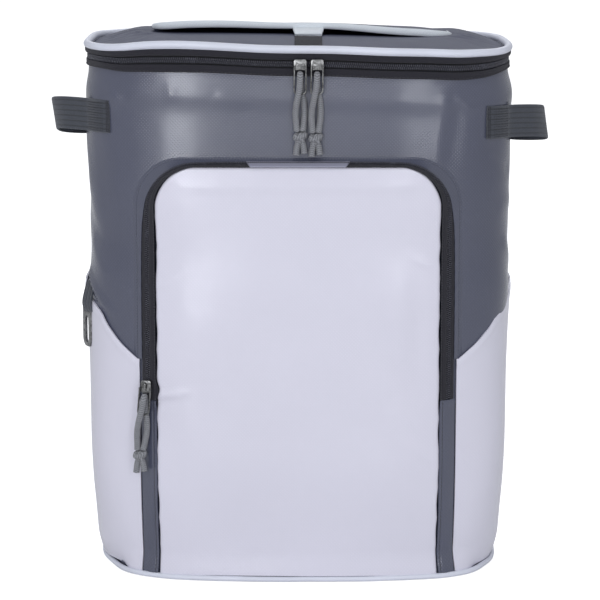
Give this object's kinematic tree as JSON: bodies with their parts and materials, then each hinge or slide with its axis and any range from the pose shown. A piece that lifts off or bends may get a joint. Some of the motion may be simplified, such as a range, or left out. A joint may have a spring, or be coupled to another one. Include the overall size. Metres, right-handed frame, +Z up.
{
  "type": "cooler backpack",
  "caption": "Soft insulated backpack with a zipped lid, access flap, front and side pockets, webbing handles, cord zip pulls, padded back and shoulder straps.",
  "frame": {"origin": "centre of the flat base", "axes": "+Z up, -Y towards the front pocket, +X to the right seen from the front"},
  "size_m": [0.3854, 0.2595, 0.427],
  "materials": {
    "coated_grey": "coated woven fabric, semi-gloss",
    "coated_white": "coated woven fabric, semi-gloss",
    "piping": "coated piping, semi-gloss",
    "zip_tape": "woven tape, matt",
    "zip_coil": "moulded coil, satin",
    "trim_strip": "coated strip, semi-gloss",
    "binding": "ribbed binding tape, matt",
    "webbing": "ribbed webbing, matt",
    "metal": "nickel plated, worn satin",
    "cord": "braided cord, matt",
    "padding": "woven mesh over foam, matt",
    "plastic": "moulded, satin"
  },
  "bodies": {
    "root": {"insulated_body": "coated_grey", "base_piping": "piping", "side_pocket_left": "coated_white", "side_pocket_right": "coated_white", "pocket_panel": "coated_white", "pocket_zip_tape": "zip_tape", "pocket_zip_chain": "zip_coil", "pocket_strip_left": "coated_grey", "pocket_strip_right": "coated_grey", "pocket_top_strip": "trim_strip", "lid_panel": "coated_grey", "lid_piping": "piping", "lid_band": "zip_tape", "lid_zip_chain": "zip_coil", "lid_zip_tape": "zip_tape", "lid_hinge": "coated_grey", "access_flap": "coated_grey", "flap_binding": "binding", "flap_pull_tab": "binding", "hook_patch": "zip_tape", "side_handle_left": "webbing", "side_handle_right": "webbing", "gear_loop": "webbing", "bottle_opener": "metal", "lid_slider_left": "metal", "lid_slider_right": "metal", "lid_puller_left": "metal", "lid_puller_right": "metal", "lid_pull_cord_left": "cord", "lid_pull_cord_right": "cord", "lid_pull_knot_left": "cord", "lid_pull_knot_right": "cord", "pocket_slider": "metal", "pocket_puller": "metal", "pocket_pull_cord": "cord", "pocket_pull_knot": "cord", "back_panel": "padding", "shoulder_strap_left": "padding", "shoulder_strap_right": "padding", "strap_buckle_left": "plastic", "strap_buckle_right": "plastic", "strap_webbing_left": "webbing", "strap_webbing_right": "webbing", "haul_loop": "webbing"}
  },
  "joints": []
}
